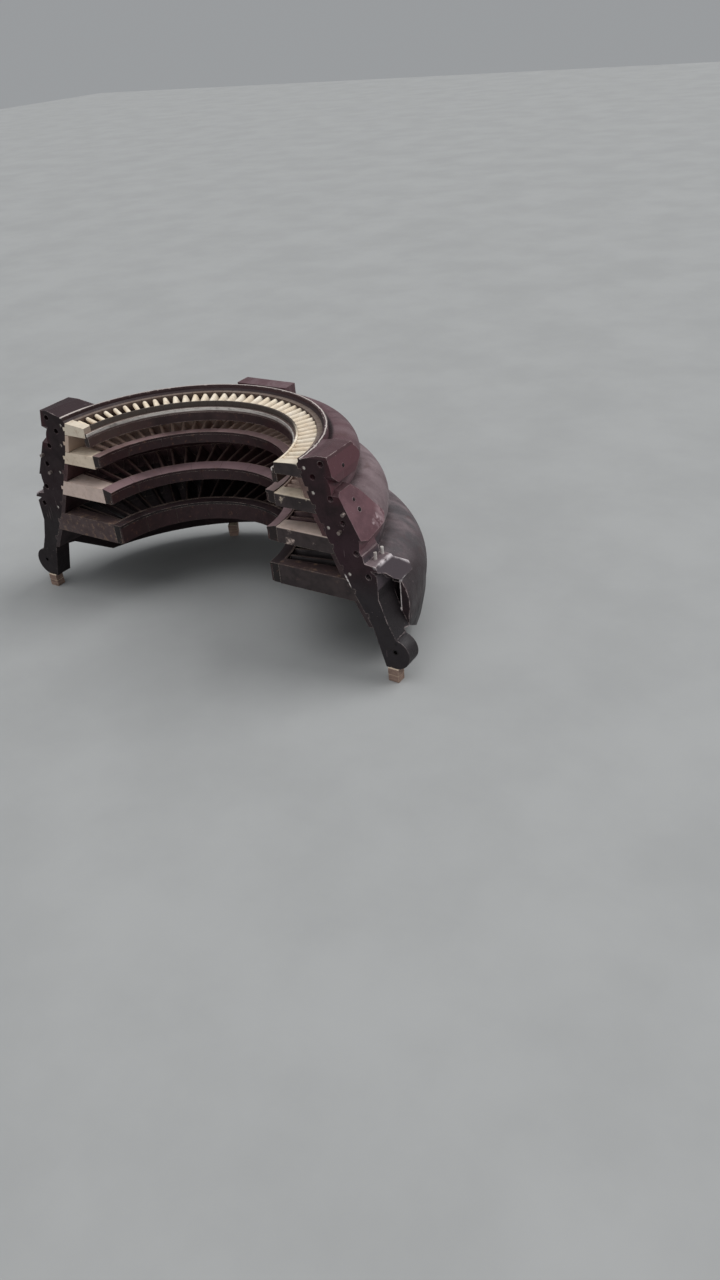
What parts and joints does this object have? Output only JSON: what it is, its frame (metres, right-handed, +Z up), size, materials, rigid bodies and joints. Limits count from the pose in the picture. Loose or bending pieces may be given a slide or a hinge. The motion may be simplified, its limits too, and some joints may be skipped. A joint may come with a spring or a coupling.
{
  "type": "gas turbine vane carrier half",
  "caption": "Half of a split conical turbine casing on its wide end, with humped shell, joint flanges, vane rows, inner rings and heat shields inside.",
  "frame": {"origin": "centre of the box at floor level", "axes": "X runs along the joint faces, Y points from the joint faces toward the back of the half ring, Z is up along the turbine axis"},
  "size_m": [4.06, 1.9676, 1.805],
  "materials": {
    "casing_paint": "dark red-brown primer and oxide on cast steel",
    "vane_coating": "matte cream ceramic coating, dusty",
    "vane_brown": "heat-browned metal with worn edges",
    "worn_steel": "dull heat-stained steel",
    "bright_steel": "rubbed bright steel",
    "shield_steel": "heat-stained steel",
    "timber": "rough sawn softwood"
  },
  "bodies": {
    "root": {"casing": "casing_paint", "guide_pad": "casing_paint", "vane_row_1": "vane_coating", "vane_row_2": "vane_brown", "vane_row_3": "vane_brown", "vane_row_4": "vane_brown", "end_blocks_1": "vane_coating", "end_blocks_2": "vane_coating", "end_blocks_3": "vane_coating", "end_blocks_4": "vane_coating", "inner_ring_1": "worn_steel", "inner_ring_2": "vane_brown", "inner_ring_3": "vane_brown", "inner_ring_4": "vane_brown", "heat_shields_1": "shield_steel", "heat_shields_2": "shield_steel", "heat_shields_3": "shield_steel", "heat_shields_4": "shield_steel", "inlet_seal_strip": "bright_steel", "seal_segments_2": "worn_steel", "seal_segments_3": "worn_steel", "seal_segments_4": "worn_steel", "end_screws": "worn_steel", "joint_dowels": "bright_steel", "shoulder_studs": "bright_steel", "timber_blocks": "timber"}
  },
  "joints": []
}
